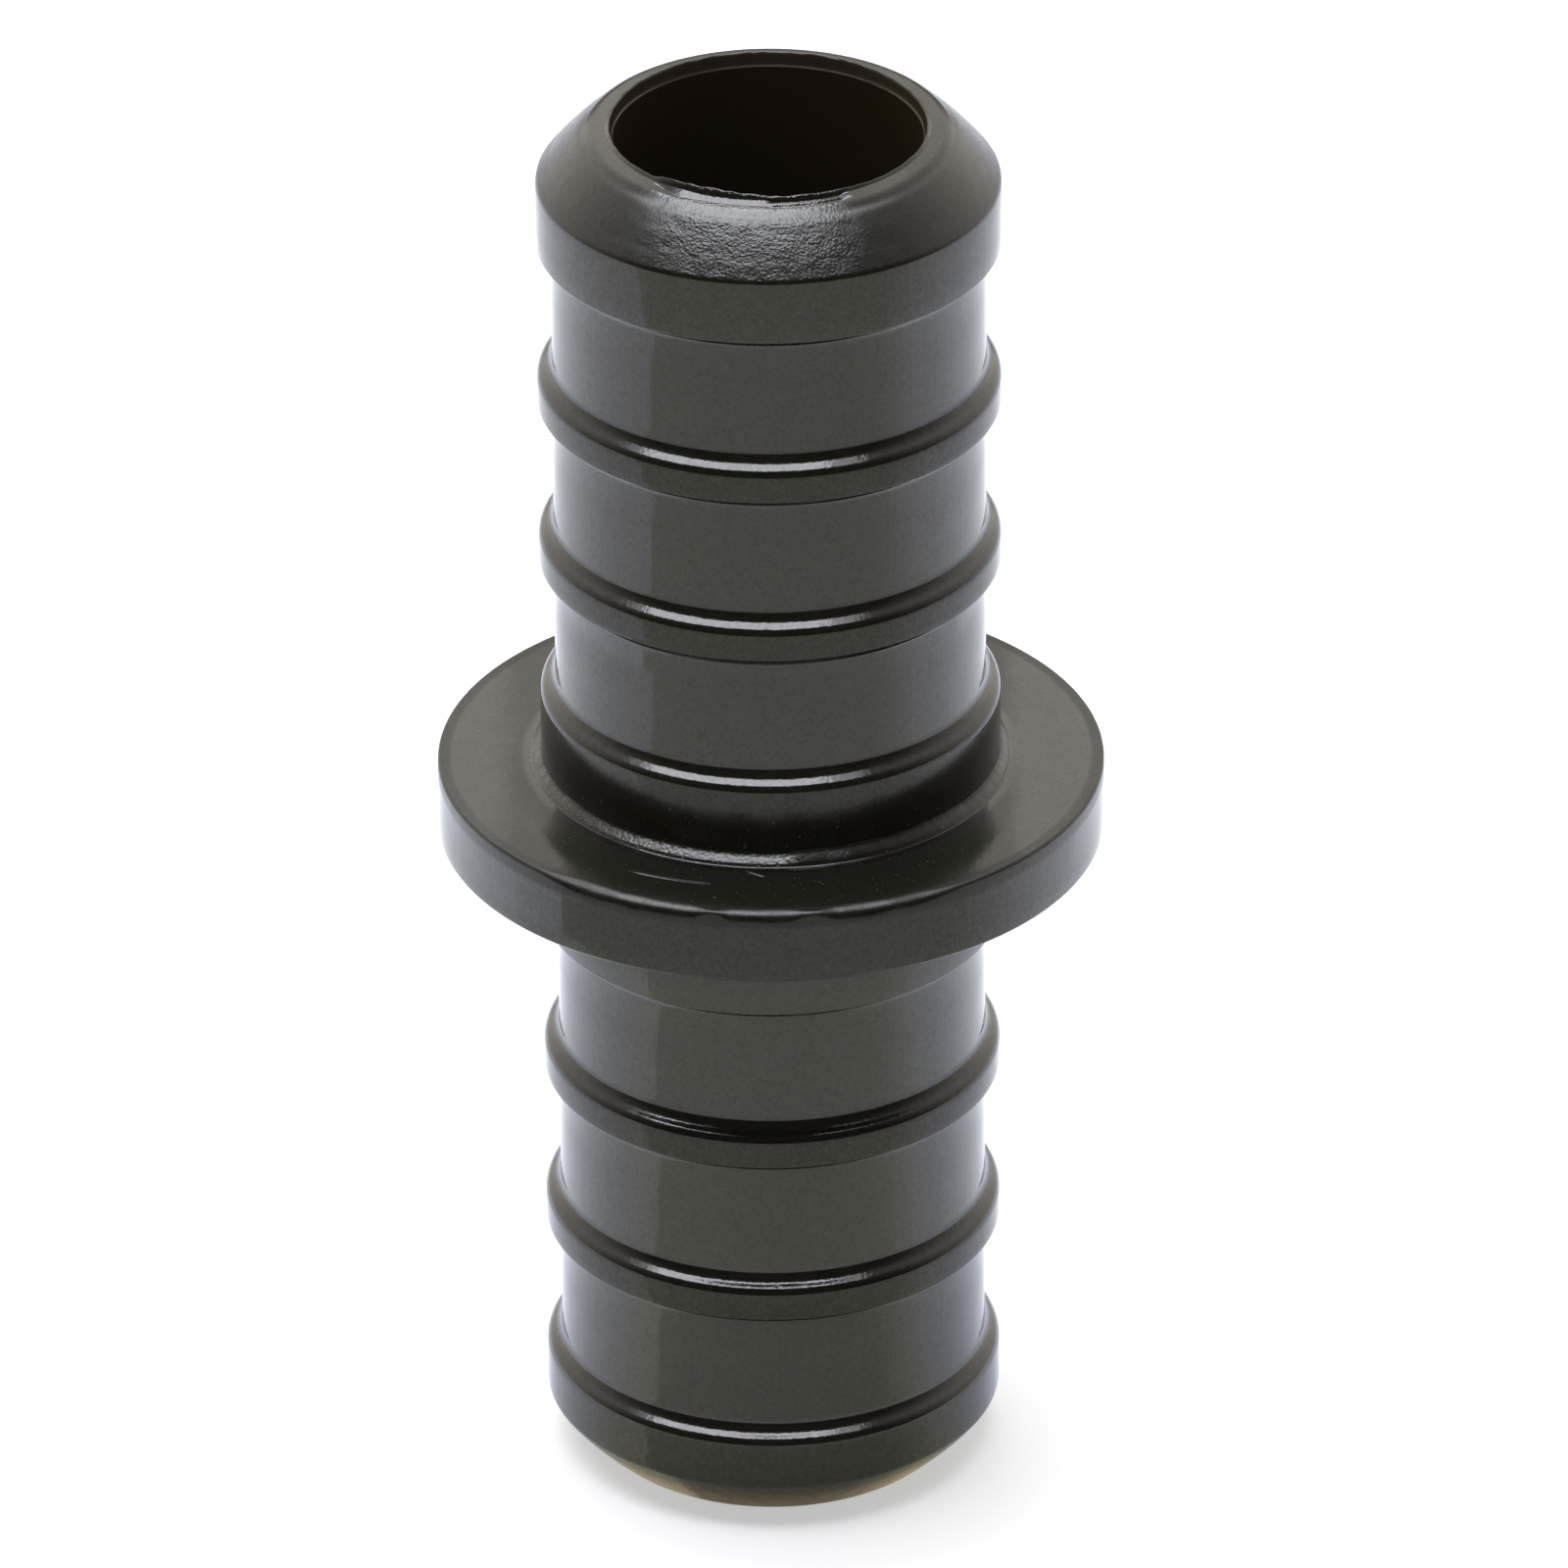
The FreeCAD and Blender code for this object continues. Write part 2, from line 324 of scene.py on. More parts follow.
# %% The slope before the film on the left, and the grooves on the right
FILM_BACK, FILM_FRONT = 0.05, 0.085
SLOPE_START, SLOPE_STOP = (-45, -35), (-0.1, 1.1)
SLOPE_TURNS = -42, -31, -23, 0
SLOPE_HEIGHTS = 0.0, 0.06, 0.03, 0.03
SLOPE_ENDS = 0.22, 0.33, 0.29, 0.29
SLOPE_FALL, SLOPE_END_SOFT = 0.62, 0.02
SLOPE_KNOTS, SLOPE_WAVER = 90, (0.8, 1.2)
GROOVE_SECTOR = 0.5, 27, 1.5
GROOVE_DEPTH, GROOVE_WIDTH = 0.065, 0.07
INNER_GROOVE, OUTER_GROOVE = 0.12, 0.3
GROOVE_KNOTS, GROOVE_WAVER = 70, (0.6, 1.2)

left = ease(degrees, *SLOPE_START) * (1 - ease(degrees, *SLOPE_STOP))
slope_height = np.interp(degrees, SLOPE_TURNS, SLOPE_HEIGHTS) * ragged(SLOPE_KNOTS, *SLOPE_WAVER)
slope = slope_height - SLOPE_FALL * (lip_place - FILM_FRONT)
slope_end = np.interp(degrees, SLOPE_TURNS, SLOPE_ENDS)
slope_share = left * (1 - ease(lip_place, slope_end - SLOPE_END_SOFT, slope_end + SLOPE_END_SOFT))
grooves = hump(lip_place, INNER_GROOVE, GROOVE_WIDTH) + hump(lip_place, OUTER_GROOVE, GROOVE_WIDTH)
grooves = GROOVE_DEPTH * grooves * sector(*GROOVE_SECTOR) * ragged(GROOVE_KNOTS, *GROOVE_WAVER)
lip_top = slope_share * slope - (1 - slope_share) * crown - grooves
print("deepest place of the lip", round(float((on_top_lip * lip_top).min()), 3), "mm")

# %% The torn film at the mouth
FILM_TURNS = -150, -90, -46, -38, -30, -13, -0.6, 0.6, 8, 26, 40, 90, 150
FILM_HEIGHTS = 0.15, 0.08, 0.08, 0.19, 0.24, 0.19, 0.15, 0.11, 0.10, 0.10, 0.07, 0.08, 0.15
FILM_KNOTS, FILM_WAVER = 140, (0.85, 1.15)

film_top = np.interp(degrees, FILM_TURNS, FILM_HEIGHTS) * ragged(FILM_KNOTS, *FILM_WAVER)
film_share = 1 - ease(lip_place, FILM_BACK, FILM_FRONT)
ring_height = ring_height + on_top_lip * (film_share * film_top + (1 - film_share) * lip_top)
print("film stands", round(float(film_top.max()), 3), "mm above the lip")

# %% The ragged foot of the collar
FOOT_MARGIN = 0.04
FINE_WAVER, BROAD_WAVER, BROAD_KNOTS = 0.05, 0.07, 90
STEEPER, STEEPER_SECTOR = 0.3, (5, 150, 4)

above_face = np.clip(section_height - FLANGE_FACE, 0, None)
low_enough = (above_face < FOOT_RISE + FOOT_MARGIN) * (section_height > 0)
on_foot = low_enough * (section_radius < CREST_RADIUS + FOOT_REACH)
foot_change = ragged(AROUND, -FINE_WAVER, FINE_WAVER) + ragged(BROAD_KNOTS, -BROAD_WAVER, BROAD_WAVER)
foot_change = foot_change + STEEPER * sector(*STEEPER_SECTOR)
ring_height = ring_height + on_foot * above_face * foot_change
print("foot rows:", int(on_foot.sum()))

# %% The bulge and the grain of each nose
NOSE_START = 4.6, 4.8
NOSE_BULGE = 0.053
GRAIN_HEIGHT, GRAIN_BLUR = 0.0035, 0.75
GRAIN_FOOT = BAND_TOP - 0.04, BAND_TOP + 0.06
GRAIN_END = HALF_LENGTH - 0.06, HALF_LENGTH - 0.2
SMOOTH_SHARE, ROUGH_SECTOR = 0.15, (-33, 26, 9)
SLANT = math.sqrt(0.5)

height_size = np.abs(section_height)
on_outside = ease(section_radius, *NOSE_START)
down_nose = np.clip((HALF_LENGTH - height_size) / NOSE_LENGTH, 0, 1)
bulge = NOSE_BULGE * on_outside * 4 * down_nose * (1 - down_nose) * (height_size > BAND_TOP)

grain = seeds.standard_normal(ring_radius.shape)
for direction in (0, 1):
    grain = grain + GRAIN_BLUR * (np.roll(grain, 1, direction) + np.roll(grain, -1, direction))
grain = grain / grain.std()
on_nose = on_outside * ease(height_size, *GRAIN_FOOT) * ease(height_size, *GRAIN_END)
rough_share = SMOOTH_SHARE + (1 - SMOOTH_SHARE) * sector(*ROUGH_SECTOR)
outward = (bulge + GRAIN_HEIGHT * on_nose * rough_share * grain) * SLANT
ring_radius = ring_radius + outward
ring_height = ring_height + outward * np.sign(section_height)
print("rough rows:", int((on_nose > 0.5).sum()))

# %% [markdown]
# ## From the grid to a mesh
#
# Each point of the grid joins its neighbours in a four-sided face, and both directions close on
# themselves, so the skin has no seam and no pole: it is a ring all the way. Weighted normals let
# the long flat walls decide the shading, so the thin arcs between them shade as true rounds.

# %% Build the moulded body
FLATS_LEAD = 100


def ring_mesh(name, radius, height):
    """A closed mesh from a grid of radii and heights: x is radius times sine of the angle, y minus
    radius times its cosine. Every face joins four neighbours, and the last ones join the first."""
    x, y = radius * np.sin(turn_angles), -radius * np.cos(turn_angles)
    points = np.stack([x, y, height], axis=-1).reshape(-1, 3) * MM
    number = np.arange(radius.size).reshape(radius.shape)
    down, beside = np.roll(number, -1, axis=0), np.roll(number, -1, axis=1)
    corner = np.roll(down, -1, axis=1)
    faces = np.stack([number, down, corner, beside], axis=-1).reshape(-1, 4)
    mesh = bpy.data.meshes.new(name)
    mesh.from_pydata(points, [], faces)
    mesh.shade_smooth()
    mesh.update()
    return mesh


def enclosed_volume(mesh):
    """Volume inside a closed mesh: the sum over its triangles of the triple product, over six."""
    mesh.calc_loop_triangles()
    corners = np.empty(len(mesh.loop_triangles) * 3, int)
    mesh.loop_triangles.foreach_get("vertices", corners)
    points = np.empty(len(mesh.vertices) * 3)
    mesh.vertices.foreach_get("co", points)
    first, second, third = points.reshape(-1, 3)[corners].reshape(-1, 3, 3).transpose(1, 0, 2)
    return float((np.cross(first, second) * third).sum() / 6)


body_mesh = ring_mesh("moulded_body", ring_radius, ring_height)
body = bpy.data.objects.new("moulded_body", body_mesh)
scene.collection.objects.link(body)
weighting = body.modifiers.new("flat walls lead", "WEIGHTED_NORMAL")
weighting.weight = FLATS_LEAD
volume = enclosed_volume(body_mesh) / MM**3
print("volume", round(volume, 1), "mm3, triangles", len(body_mesh.loop_triangles))

# %% Put it in the frame
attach(body, "root")
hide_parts("coupling_body")
print("body box", [round(side_length / MM, 2) for side_length in body.dimensions])

# %% [markdown]
# ## A way to write shader maths
#
# A material is a net of nodes, and a net is hard to read. So one small class wraps a socket and
# takes part in sums: adding, multiplying or subtracting wires adds the Math nodes that do it.
# Every other node comes from one method, which sets the node up and then feeds its sockets.

# %% One class for every wire
AMOUNT, COLOUR_A, COLOUR_B, COLOUR_RESULT = 0, 6, 7, 2
SHADER_A, SHADER_B = 1, 2
ADDED_A, ADDED_B = 0, 1


class Wire:
    """One output of a node tree, which can be used in a sum."""

    def __init__(self, tree, socket=None):
        self.tree = tree
        self.socket = socket

    def node(self, kind, settings=None, inputs=None, output=0):
        """Adds a node: its settings first, then a value or a wire for each named input."""
        made = self.tree.nodes.new(kind)
        for name, value in (settings or {}).items():
            setattr(made, name, value)
        for name, value in (inputs or {}).items():
            socket = made.inputs[name]
            if isinstance(value, Wire):
                self.tree.links.new(value.socket, socket)
            else:
                socket.default_value = value
        return Wire(self.tree, made.outputs[output] if made.outputs else None)

    def maths(self, operation, *values):
        """A Math node with this operation on the values, in the order given."""
        return self.node("ShaderNodeMath", {"operation": operation}, dict(enumerate(values)))

    def __add__(self, other):
        return self.maths("ADD", self, other)

    def __mul__(self, other):
        return self.maths("MULTIPLY", self, other)

    def __sub__(self, other):
        return self.maths("SUBTRACT", self, other)

    def __rsub__(self, other):
        return self.maths("SUBTRACT", other, self)

    def __truediv__(self, other):
        return self.maths("DIVIDE", self, other)

    def __abs__(self):
        return self.maths("ABSOLUTE", self)

    def root(self):
        """Square root."""
        return self.maths("SQRT", self)

    def above(self, start, end):
        """0 before start, 1 after end, with a smooth S between, as ease() is for arrays."""
        limits = {"Value": self, "From Min": start, "From Max": end}
        return self.node("ShaderNodeMapRange", {"interpolation_type": "SMOOTHSTEP"}, limits)

    def between(self, start, end, soft):
        """1 between two values and 0 outside, with a soft edge of this width at each end."""
        return self.above(start - soft, start + soft) * (1 - self.above(end - soft, end + soft))

    def noise(self, scale, detail, roughness):
        """Soft noise from 0 to 1 at this many lumps per millimetre, when the wire is a place."""
        values = {"Vector": self, "Scale": scale, "Detail": detail, "Roughness": roughness}
        return self.node("ShaderNodeTexNoise", {}, values)

    def axis(self, name):
        """One axis of a vector."""
        return self.node("ShaderNodeSeparateXYZ", {}, {"Vector": self}, name)

    def scaled(self, factors):
        """The vector times three factors."""
        return self.node("ShaderNodeVectorMath", {"operation": "MULTIPLY"}, {0: self, 1: factors})

    def blend(self, first, second):
        """Colour that goes from the first to the second as this wire goes from 0 to 1."""
        ends = {AMOUNT: self, COLOUR_A: first, COLOUR_B: second}
        return self.node("ShaderNodeMix", {"data_type": "RGBA"}, ends, COLOUR_RESULT)

    def mix_shaders(self, first, second):
        """Shader that goes from the first to the second as this wire goes from 0 to 1."""
        return self.node("ShaderNodeMixShader", {}, {AMOUNT: self, SHADER_A: first, SHADER_B: second})

    def add_shader(self, other):
        """This shader and another, added."""
        return self.node("ShaderNodeAddShader", {}, {ADDED_A: self, ADDED_B: other})

    __radd__ = __add__
    __rmul__ = __mul__


def empty_tree(owner):
    """The node tree of a material or a world, emptied, as a wire to start from."""
    owner.use_nodes = True
    owner.node_tree.nodes.clear()
    return Wire(owner.node_tree)


print("operators ready:", [name for name in vars(Wire) if name.startswith("__r")])

# %% [markdown]
# ## The plastic
#
# The real plastic is coloured black all through, with a trace of brown. Almost everything the
# eye sees on it is reflection: the walls are drawn smooth by the mould, the crests are rubbed
# dull, the noses are pitted, and dust sits in the corners. A grey paint would look flat. So the
# colour stays near black, and the work goes into the reflection and the small relief.

# %% Start the material, and measure where a point is
PER_MM = (1 / MM,) * 3
plastic = bpy.data.materials.new("black_moulded_plastic")
bench = empty_tree(plastic)
in_mm = bench.node("ShaderNodeTexCoord", output="Object").scaled(PER_MM)
across, along, upward = (in_mm.axis(name) for name in "XYZ")
from_axis = (across * across + along * along).root()
from_middle = abs(upward)
sideways, backwards = across / from_axis, along / from_axis
print("nodes so far", len(plastic.node_tree.nodes))

# %% Masks along the spigots
# A pair is where a mask starts and where it is full. A triple is a zone's start and end, and the
# softness of both. Radii and heights are millimetres.
NOSE_HEIGHT, NOSE_RADIUS = (BAND_TOP, BAND_TOP + 0.1), (4.65, 4.95)
FACING_ZONE, FACING_FADE = (-0.48, 0.38, 0.14), (-0.75, -0.45)
BORE_EDGE = 4.12, 4.22
CREST_ZONE = CREST_RADIUS - 0.03, CREST_RADIUS + 0.05, 0.015
SHOULDER_ZONE = BARREL_RADIUS + 0.06, CREST_RADIUS - 0.04, 0.03
MOUTH_ZONE, MOUTH_HEIGHT = (BORE_RADIUS + 0.02, MOUTH_RADIUS + 0.012, 0.006), (19.1, 19.7)
LIP_HEIGHT, TORN_EDGE, LIP_EDGE = (19.3, 19.5), (4.75, 4.95), (4.7, 4.9)
LIP_BACK, LIP_RIGHT, RIGHT_SHARE = (2.5, 4.0), (3.0, 4.0), 0.7

nose = from_middle.above(*NOSE_HEIGHT) * from_axis.above(*NOSE_RADIUS)
facing = sideways.between(*FACING_ZONE) * (1 - backwards.above(*FACING_FADE))
bore = 1 - from_axis.above(*BORE_EDGE)
crest = from_axis.between(*CREST_ZONE)
shoulder = from_axis.between(*SHOULDER_ZONE)
mouth_wall = from_axis.between(*MOUTH_ZONE) * upward.above(*MOUTH_HEIGHT)
on_lip = upward.above(*LIP_HEIGHT)
torn = on_lip * (1 - from_axis.above(*TORN_EDGE)) * facing
at_back = along.above(*LIP_BACK)
lip_dull = at_back + across.above(*LIP_RIGHT) * (1 - at_back) * RIGHT_SHARE
lip_dull = on_lip * (1 - from_axis.above(*LIP_EDGE)) * lip_dull
print("nodes with the spigots' masks", len(plastic.node_tree.nodes))

# %% Masks on the collar and the flange
RIM_START = FLANGE_RADIUS - 0.08, FLANGE_RADIUS - 0.02
RIM_EDGE_RADIUS, RIM_EDGE_HEIGHT = (8.45, 8.6), (0.6, 1.1, 0.08)
RIM_FRONT = 0.55, 0.85
FACE_ZONE, FACE_RADIUS = (FLANGE_FACE - 0.1, FLANGE_FACE + 0.1, 0.03), (6.5, 6.7)
FACE_LEFT, FACE_RIGHT = (-7.0, -5.0, 0.6), (5.0, 6.4, 0.4)
FOOT_ZONE, FOOT_HEIGHT = (CREST_RADIUS - 0.01, CREST_RADIUS + FOOT_REACH, 0.02), (1.05, 1.33, 0.02)
FOOT_FADE, FOOT_FADED = (0.02, 0.2), 0.7
COLLAR_ZONE, COLLAR_HEIGHT = (CREST_RADIUS - 0.1, CREST_RADIUS + 0.1, 0.03), (1.3, 3.0, 0.1)
COLLAR_SIDES = 0.75, 0.9

rim = from_axis.above(*RIM_START) * (0 - backwards).above(*RIM_FRONT)
rim_edge = from_axis.above(*RIM_EDGE_RADIUS) * upward.between(*RIM_EDGE_HEIGHT)
top_face = upward.between(*FACE_ZONE) * from_axis.above(*FACE_RADIUS)
face_sides = top_face * (across.between(*FACE_LEFT) + across.between(*FACE_RIGHT))
foot = from_axis.between(*FOOT_ZONE) * upward.between(*FOOT_HEIGHT)
left_foot = foot * (1 - sideways.above(*FOOT_FADE) * FOOT_FADED)
collar = from_axis.between(*COLLAR_ZONE) * upward.between(*COLLAR_HEIGHT)
collar_sides = collar * abs(sideways).above(*COLLAR_SIDES)
print("nodes with the flange's masks", len(plastic.node_tree.nodes))

# %% Relief: a fine skin, a swell, lines drawn along the bore, and pits
# Heights are millimetres. Each noise has its lumps per millimetre, its detail and its roughness.
PITS, SKIN, SWELL, DRAWN = (12.0, 2.0, 0.5), (9.0, 2.0, 0.5), (1.1, 1.0, 0.4), (5.0, 2.0, 0.6)
PIT_STRETCH, DRAWN_STRETCH = (1, 1, 1.1), (1, 1, 0.04)
SKIN_RELIEF, SHOULDER_RELIEF = 0.0008, 0.0035
SWELL_RELIEF, DRAWN_RELIEF = 0.003, 0.0025
NOSE_RELIEF, FACING_RELIEF = 0.003, 0.021
FOOT_RELIEF, TORN_RELIEF = 0.018, 0.017
HALF_WAY = 0.5

pits = in_mm.scaled(PIT_STRETCH).noise(*PITS)
skin = in_mm.noise(*SKIN)
plain = skin * (SKIN_RELIEF + shoulder * SHOULDER_RELIEF) + in_mm.noise(*SWELL) * SWELL_RELIEF
plain = plain + in_mm.scaled(DRAWN_STRETCH).noise(*DRAWN) * DRAWN_RELIEF
pit_depth = nose * (NOSE_RELIEF + facing * FACING_RELIEF) + left_foot * FOOT_RELIEF + torn * TORN_RELIEF
rough = (pits - HALF_WAY) * pit_depth
print("nodes with the skin and the pits", len(plastic.node_tree.nodes))

# %% Relief: two scratches on the flange's face, one along the ring and one across it
RING_SCRATCH, RING_DRIFT, RING_WIDTH = 7.33, 0.25, 0.07
RING_STRETCH = -0.5, -0.22, 0.06
SLANTED_START, SLANTED_SLOPE, SLANTED_WIDTH = 6.95, 0.62, 0.045
SLANTED_STRETCH = -0.95, -0.2, 0.1
SCRATCHED_FRONT = -3, -2.5
SCRATCH_HEIGHT = 0.02


def ridge(distance, width):
    """1 on a line and 0 beyond its width, from the distance to it."""
    return 1 - abs(distance).above(0, width)


ring_scratch = ridge(from_axis - RING_SCRATCH + sideways * RING_DRIFT, RING_WIDTH)
ring_scratch = ring_scratch * sideways.between(*RING_STRETCH)
slanted_scratch = ridge(from_axis - SLANTED_START - across * SLANTED_SLOPE, SLANTED_WIDTH)
slanted_scratch = slanted_scratch * across.between(*SLANTED_STRETCH)
scratches = (ring_scratch + slanted_scratch) * top_face * (1 - along.above(*SCRATCHED_FRONT))
relief = plain + rough + scratches * SCRATCH_HEIGHT
bumped = relief.node("ShaderNodeBump", {}, {"Height": relief, "Distance": MM, "Strength": 1.0})
print("nodes with the relief", len(plastic.node_tree.nodes))

# %% Colour
DEEP_BLACK = (0.0046, 0.0043, 0.0026, 1)
DUSTY_BLACK = (0.0088, 0.0082, 0.0060, 1)
DUST = (0.130, 0.120, 0.095, 1)
CREST_BROWN = (0.0078, 0.0072, 0.0030, 1)
# painted light: the flange's upper face, under the lamp, gets a lighter grey than the black of the rest
TOP_FACE_PAINTED_LIGHT = (0.0100, 0.0108, 0.0072, 1)
BORE_BROWN = (0.0200, 0.0130, 0.0065, 1)
MOUTH_BROWN = (0.0300, 0.0225, 0.0140, 1)
MOTTLE, MOTTLE_RANGE = (2.2, 4.0, 0.6), (0.35, 0.75)
SPECKS, SPECK_RANGE = (11.0, 1.0, 0.5), (0.72, 0.77)
SPECK_HEIGHT, SPECK_RADIUS = (3.0, 3.6), (8.3, 8.6)
CREST_SHARE, SPECK_SHARE = 0.7, 0.5

mottle = in_mm.noise(*MOTTLE).above(*MOTTLE_RANGE)
specks = in_mm.noise(*SPECKS).above(*SPECK_RANGE) * (1 - from_middle.above(*SPECK_HEIGHT))
specks = specks * (1 - from_axis.above(*SPECK_RADIUS))
colour = mottle.blend(DEEP_BLACK, DUSTY_BLACK)
colour = (crest * CREST_SHARE).blend(colour, CREST_BROWN)
# Painted light: the upper face of the flange is made a lighter grey, as if lit from above, not a colour
# of its own.
colour = top_face.blend(colour, TOP_FACE_PAINTED_LIGHT)
colour = bore.blend(colour, BORE_BROWN)
colour = mouth_wall.blend(colour, MOUTH_BROWN)
colour = (specks * SPECK_SHARE).blend(colour, DUST)
print("nodes with the colour", len(plastic.node_tree.nodes))

# %% Roughness: what the walls have, and what each place adds to it
WALL_ROUGHNESS = 0.07
ADDED_ROUGHNESS = (
    (mottle, 0.03),
    (nose, 0.2),
    (bore, 0.25),
    (rim_edge, 0.2),
    (foot, 0.12),
    (shoulder, 0.04),
    (collar, 0.1),
    (top_face, 0.08),
)
roughness = WALL_ROUGHNESS
for place, added in ADDED_ROUGHNESS:
    roughness = roughness + place * added
print("nodes with the roughness", len(plastic.node_tree.nodes))

# %% Two finishes of the same plastic, as moulded and rubbed dull
REFRACTION, RUBBED_REFRACTION = 1.67, 1.44
RIB_RUBBED, BAND_RUBBED, RIM_RUBBED, EDGE_RUBBED, BORE_RUBBED = 0.62, 0.28, 0.52, 0.5, 0.8
BELOW_RUBBED, COLLAR_BELOW_RUBBED = 0.13, -0.75
BAND_EDGE = BAND_FOOT - 0.4, BAND_FOOT - 0.3
COLLAR_EDGE = COLLAR_TOP, COLLAR_TOP + 1
MIDDLE_EDGE = -1, 1
CLOUD, CLOUD_GRAIN = 0.12, 1.2

finish = {"Base Color": colour, "Roughness": roughness, "Normal": bumped}
moulded = bench.node("ShaderNodeBsdfPrincipled", {}, {**finish, "IOR": REFRACTION})
rubbed = bench.node("ShaderNodeBsdfPrincipled", {}, {**finish, "IOR": RUBBED_REFRACTION})
below = 1 - upward.above(*MIDDLE_EDGE)
on_collar = 1 - from_middle.above(*COLLAR_EDGE)
rib_share = RIB_RUBBED + from_middle.above(*BAND_EDGE) * (BAND_RUBBED - RIB_RUBBED)
rib_share = rib_share + below * (BELOW_RUBBED + on_collar * COLLAR_BELOW_RUBBED)
cloud = CLOUD + (skin - HALF_WAY) * CLOUD_GRAIN + (mottle - HALF_WAY) * CLOUD
rubbing = crest * rib_share + rim * RIM_RUBBED + rim_edge * EDGE_RUBBED + bore * BORE_RUBBED + cloud
rubbing = rubbing + face_sides + collar_sides + lip_dull
bench.node("ShaderNodeOutputMaterial", {}, {"Surface": rubbing.mix_shaders(moulded, rubbed)})
body_mesh.materials.append(plastic)
print("nodes in the plastic", len(plastic.node_tree.nodes))

# %% [markdown]
# ## The table, the room and the light
#
# The photograph was taken over a white table, with a soft lamp overhead and a dark room behind
# the camera. The vertical walls mirror the table, the sloping edges mirror the lamp, and the
# flange's top mirrors the pale room behind. So the table and the world are part of the look. The
# walls also show a sharp edge down their left side, where the mirrored table goes from bright to
# plain, and that edge is painted into what mirrored rays see. So are the glows near the part,
# which light the foot of the walls, the rim and the lower nose as the photograph shows them.

# %% A white floor that keeps a soft shadow
FLOOR_SIDE = 6.0
floor_points = np.array([(-1, -1, 0), (1, -1, 0), (1, 1, 0), (-1, 1, 0)]) * FLOOR_SIDE / 2
floor_points[:, 2] = lowest.z
floor_mesh = bpy.data.meshes.new("floor")
floor_mesh.from_pydata(floor_points, [], [(0, 1, 2, 3)])
floor = bpy.data.objects.new("floor", floor_mesh)
scene.collection.objects.link(floor)
print("floor at", round(lowest.z / MM, 2), "mm")

# %% Where the mirrored table is plain, in millimetres from the part's axis
LEFT_EDGE_SLOPE, RIGHT_EDGE_SLOPE = 0.445, -0.5
EDGE_SET = -3.4
LEFT_SOFT, RIGHT_FADE = (-0.2, 0.2), (-0.45, 0.16)
RIM_ZONE, RIM_SHIFT = (39.5, 46, 0.9), 7.0

white = bpy.data.materials.new("white_table")
table = empty_tree(white)
spot = table.node("ShaderNodeTexCoord", output="Object").scaled(PER_MM)
right_of, away = spot.axis("X"), spot.axis("Y")
distance = (right_of * right_of + away * away).root()
rim_zone = distance.between(*RIM_ZONE)
left_side = (right_of * LEFT_EDGE_SLOPE + EDGE_SET + rim_zone * RIM_SHIFT - away).above(*LEFT_SOFT)
right_side = ((right_of * RIGHT_EDGE_SLOPE + EDGE_SET - away) / distance).above(*RIGHT_FADE)
bright = 1 - left_side * right_side
print("nodes for the edge", len(white.node_tree.nodes))

# %% How bright the mirrored table is, and in which tone
SIDE_GLOW, BACK_GLOW, BACK_FADE = 0.33, 0.2, (-0.3, 0.6)
NEAR_GLOW, NEAR_FADE = 0.07, (28, 42)
RIM_GLOW = 0.2
UNDER_GLOW, UNDER_EDGE = 0.26, (5.1, 5.6)
FRONT_FADE = 0.1, 0.7
SIDE_BLUE = (0.94, 1.0, 1.46, 1)
NEAR_WARM = (1.0, 1.0, 0.7, 1)
UNDER_BROWN = (1.2, 1.0, 0.7, 1)

near = 1 - distance.above(*NEAR_FADE)
under = 1 - distance.above(*UNDER_EDGE)
glow = bright * (SIDE_GLOW + (away / distance).above(*BACK_FADE) * BACK_GLOW)
glow = glow + near * NEAR_GLOW + rim_zone * (1 - left_side) * RIM_GLOW + under * UNDER_GLOW
glow_tone = (near * (0 - away / distance).above(*FRONT_FADE)).blend(SIDE_BLUE, NEAR_WARM)
glow_tone = under.blend(glow_tone, UNDER_BROWN)
print("nodes for the glow", len(white.node_tree.nodes))

# %% The floor's paint
TABLE_PAINT = (0.545, 0.545, 0.475, 1)
NEUTRAL_PAINT = (0.545, 0.545, 0.545, 1)
WHITE = (1, 1, 1, 1)
CAMERA_GLOW = 0.5

seen = table.node("ShaderNodeLightPath", output="Is Camera Ray")
mirrored = table.node("ShaderNodeLightPath", output="Is Glossy Ray")
through = table.node("ShaderNodeLightPath", output="Is Transmission Ray")
paint = table.node("ShaderNodeBsdfDiffuse", {}, {"Color": seen.blend(TABLE_PAINT, NEUTRAL_PAINT)})
shine = table.node("ShaderNodeEmission", {}, {"Color": WHITE, "Strength": (seen + through) * CAMERA_GLOW})
sheen = table.node("ShaderNodeEmission", {}, {"Color": glow_tone, "Strength": mirrored * glow})
table.node("ShaderNodeOutputMaterial", {}, {"Surface": paint.add_shader(shine).add_shader(sheen)})
floor_mesh.materials.append(white)
print("nodes in the floor", len(white.node_tree.nodes))

# %% The room: pale behind the part, dark behind the camera
ROOM_DARK, ROOM_PALE, ROOM_RISE = 0.07, 1.45, (-0.55, 1.1)
ROOM_WARM = (1.05, 0.99, 0.90, 1)
LEFT_LIGHTER = 0.03
LOW_BACK, LOW_BACK_EDGE = 0.7, (0.90, 0.96)

